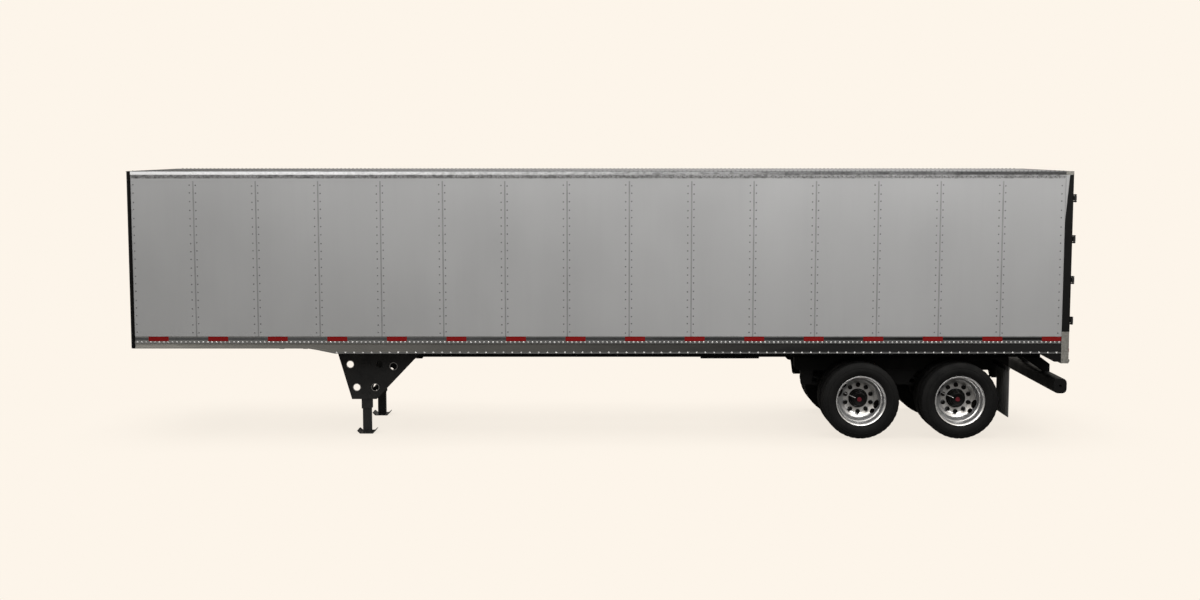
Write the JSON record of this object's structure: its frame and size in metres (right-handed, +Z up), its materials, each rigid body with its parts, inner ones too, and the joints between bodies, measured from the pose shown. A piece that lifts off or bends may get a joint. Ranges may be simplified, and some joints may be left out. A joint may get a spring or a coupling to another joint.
{
  "type": "semi trailer",
  "caption": "Enclosed road trailer with riveted aluminium walls, swinging rear doors, spring-hung tandem axles with twin wheels, a kingpin coupler and landing legs.",
  "frame": {"origin": "on the ground under the middle of the van body", "axes": "+X to the rear doors, +Y to the vehicle's right side, +Z up"},
  "size_m": [12.3018, 2.468, 3.495],
  "materials": {
    "riveted_aluminium": "riveted sheet",
    "rail_aluminium": "extruded",
    "black_steel": "satin paint",
    "bare_steel": "zinc plated",
    "galvanised_steel": "galvanised",
    "deck_wood": "oiled planks",
    "flap_rubber": "matt",
    "red_lens": "clear lens",
    "cast_iron": "painted casting",
    "tyre_rubber": "matt",
    "polished_wheel": "polished"
  },
  "bodies": {
    "root": {"side_wall_left": "riveted_aluminium", "side_wall_right": "riveted_aluminium", "front_wall": "riveted_aluminium", "roof": "riveted_aluminium", "nose_box": "riveted_aluminium", "top_rail_left": "rail_aluminium", "top_rail_right": "rail_aluminium", "underframe": "rail_aluminium", "front_frame": "black_steel", "coupler": "black_steel", "chassis_frame": "black_steel", "bogie_frame": "black_steel", "rear_frame": "black_steel", "underride_guard": "black_steel", "springs_left": "black_steel", "springs_right": "black_steel", "air_tank": "black_steel", "landing_leg_left": "black_steel", "landing_leg_right": "black_steel", "landing_foot_left": "black_steel", "landing_foot_right": "black_steel", "landing_shaft": "black_steel", "landing_stays": "black_steel", "crank": "black_steel", "kingpin": "bare_steel", "rear_sill": "galvanised_steel", "floor": "deck_wood", "mud_flap_left": "flap_rubber", "mud_flap_right": "flap_rubber", "tail_lamps_left": "red_lens", "tail_lamps_right": "red_lens", "axle_front": "cast_iron", "axle_rear": "cast_iron"},
    "wheel_front_left": {"tyre_outer_front_left": "tyre_rubber", "tyre_inner_front_left": "tyre_rubber", "wheel_outer_front_left": "polished_wheel", "wheel_inner_front_left": "cast_iron"},
    "wheel_front_right": {"tyre_outer_front_right": "tyre_rubber", "tyre_inner_front_right": "tyre_rubber", "wheel_outer_front_right": "polished_wheel", "wheel_inner_front_right": "cast_iron"},
    "wheel_rear_left": {"tyre_outer_rear_left": "tyre_rubber", "tyre_inner_rear_left": "tyre_rubber", "wheel_outer_rear_left": "polished_wheel", "wheel_inner_rear_left": "cast_iron"},
    "wheel_rear_right": {"tyre_outer_rear_right": "tyre_rubber", "tyre_inner_rear_right": "tyre_rubber", "wheel_outer_rear_right": "polished_wheel", "wheel_inner_rear_right": "cast_iron"},
    "door_left": {"door_left": "riveted_aluminium", "lock_rod_left": "bare_steel"},
    "door_right": {"door_right": "riveted_aluminium", "lock_rod_right": "bare_steel"}
  },
  "joints": [
    {"name": "wheel_front_left_spin", "type": "hinge", "parent": "root", "child": "wheel_front_left", "pos_m": [3.4175, -0.908, 0.50076], "axis": [0, -1, 0], "continuous": true},
    {"name": "wheel_front_right_spin", "type": "hinge", "parent": "root", "child": "wheel_front_right", "pos_m": [3.4175, 0.908, 0.50076], "axis": [0, -1, 0], "continuous": true},
    {"name": "wheel_rear_left_spin", "type": "hinge", "parent": "root", "child": "wheel_rear_left", "pos_m": [4.7105, -0.908, 0.50076], "axis": [0, -1, 0], "continuous": true},
    {"name": "wheel_rear_right_spin", "type": "hinge", "parent": "root", "child": "wheel_rear_right", "pos_m": [4.7105, 0.908, 0.50076], "axis": [0, -1, 0], "continuous": true},
    {"name": "door_left_hinge", "type": "hinge", "parent": "root", "child": "door_left", "pos_m": [6.131, -1.217, 1.3323], "axis": [0, 0, -1], "range_deg": [0, 264]},
    {"name": "door_right_hinge", "type": "hinge", "parent": "root", "child": "door_right", "pos_m": [6.131, 1.217, 1.3323], "axis": [0, 0, 1], "range_deg": [0, 264]}
  ]
}
